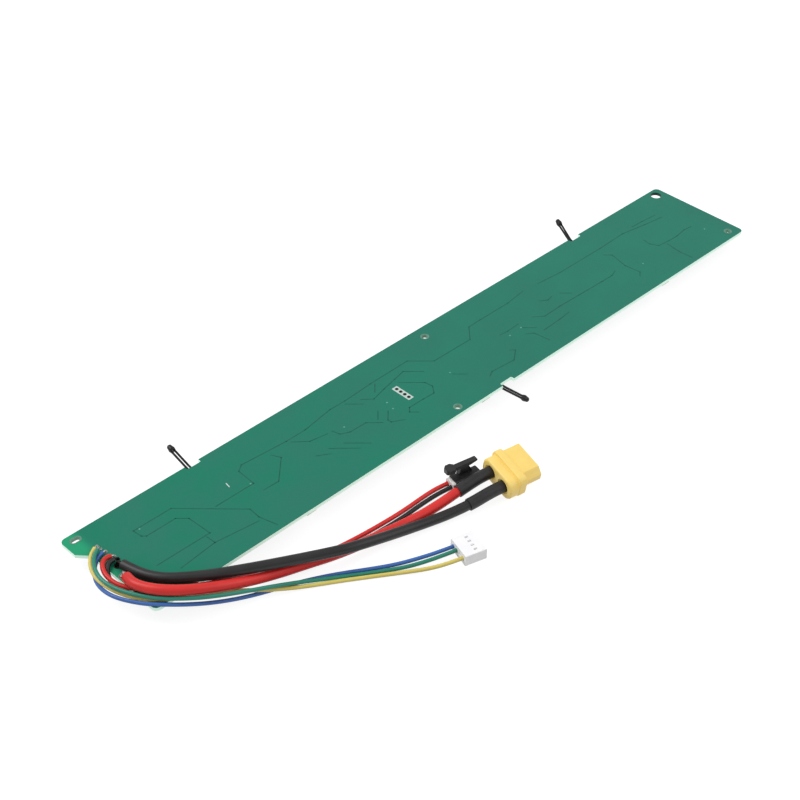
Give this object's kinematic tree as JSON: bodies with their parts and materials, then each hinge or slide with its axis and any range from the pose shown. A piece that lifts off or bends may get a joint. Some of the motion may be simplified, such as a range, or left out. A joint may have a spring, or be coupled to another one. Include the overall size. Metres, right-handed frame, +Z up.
{
  "type": "battery management board",
  "caption": "Long green battery management board with soldered leads to a yellow power plug, a black latch plug and a white signal plug, and bead temperature sensors at its edges.",
  "frame": {"origin": "centre of the board's footprint, without the leads and plugs, on the surface it stands on", "axes": "+X along the board's length to the end away from the leads, +Z up through the plain solder side, +Y to the far long edge"},
  "size_m": [0.3823, 0.1327, 0.0172],
  "materials": {
    "solder_mask": "satin",
    "plated_copper": "bright tin plate",
    "solder": "bright",
    "red_insulation": "satin silicone",
    "black_insulation": "satin silicone",
    "yellow_insulation": "satin",
    "green_insulation": "satin",
    "blue_insulation": "satin",
    "yellow_nylon": "satin moulded",
    "white_nylon": "satin moulded",
    "black_nylon": "satin moulded",
    "black_epoxy": "glossy resin",
    "package_black": "matte moulded",
    "gold_plate": "polished",
    "tin": "matt tin",
    "nickel": "rolled strip",
    "can_aluminium": "satin",
    "ceramic": "fired ceramic",
    "glass_clear": "clear resin",
    "ferrite": "matte ferrite"
  },
  "bodies": {
    "root": {"circuit_board": "solder_mask", "plated_hole_lands": "plated_copper", "slot_land": "plated_copper", "header_lands": "plated_copper", "lead_hole_lands": "plated_copper", "lead_solder_joints": "solder", "power_lead_negative": "black_insulation", "power_lead_positive": "red_insulation", "charge_lead_positive": "red_insulation", "charge_lead_negative": "black_insulation", "signal_lead_yellow": "yellow_insulation", "signal_lead_green": "green_insulation", "signal_lead_blue": "blue_insulation", "power_lead_cores": "tin", "charge_lead_cores": "tin", "signal_lead_cores": "tin", "power_sleeve_negative": "black_insulation", "power_sleeve_positive": "black_insulation", "power_plug_hood": "yellow_nylon", "power_plug_housing": "yellow_nylon", "power_plug_contacts": "gold_plate", "latch_plug_housing": "black_nylon", "latch_plug_contacts": "tin", "latch_plug_seal": "white_nylon", "signal_plug_housing": "white_nylon", "signal_plug_contacts": "tin", "thermistor_bead_lead_end": "black_epoxy", "thermistor_bead_middle": "black_epoxy", "thermistor_bead_far_end": "black_epoxy", "thermistor_leads": "black_insulation", "thermistor_joints": "solder", "cell_tabs": "nickel", "capacitor_bases": "package_black", "capacitor_cans": "can_aluminium", "mosfet_bodies": "package_black", "mosfet_tabs": "tin", "mosfet_leads": "tin", "shunt_resistors": "package_black", "monitor_chip": "package_black", "monitor_chip_leads": "tin", "microcontroller": "package_black", "microcontroller_leads": "tin", "regulator": "package_black", "regulator_leads": "tin", "balance_resistors": "package_black", "balance_transistors": "package_black", "chip_resistors": "package_black", "chip_capacitors": "ceramic", "surge_diodes": "package_black", "power_inductor": "ferrite", "crystal_can": "tin", "status_lamps": "glass_clear", "fuse_body": "ceramic", "fuse_caps": "tin"}
  },
  "joints": []
}
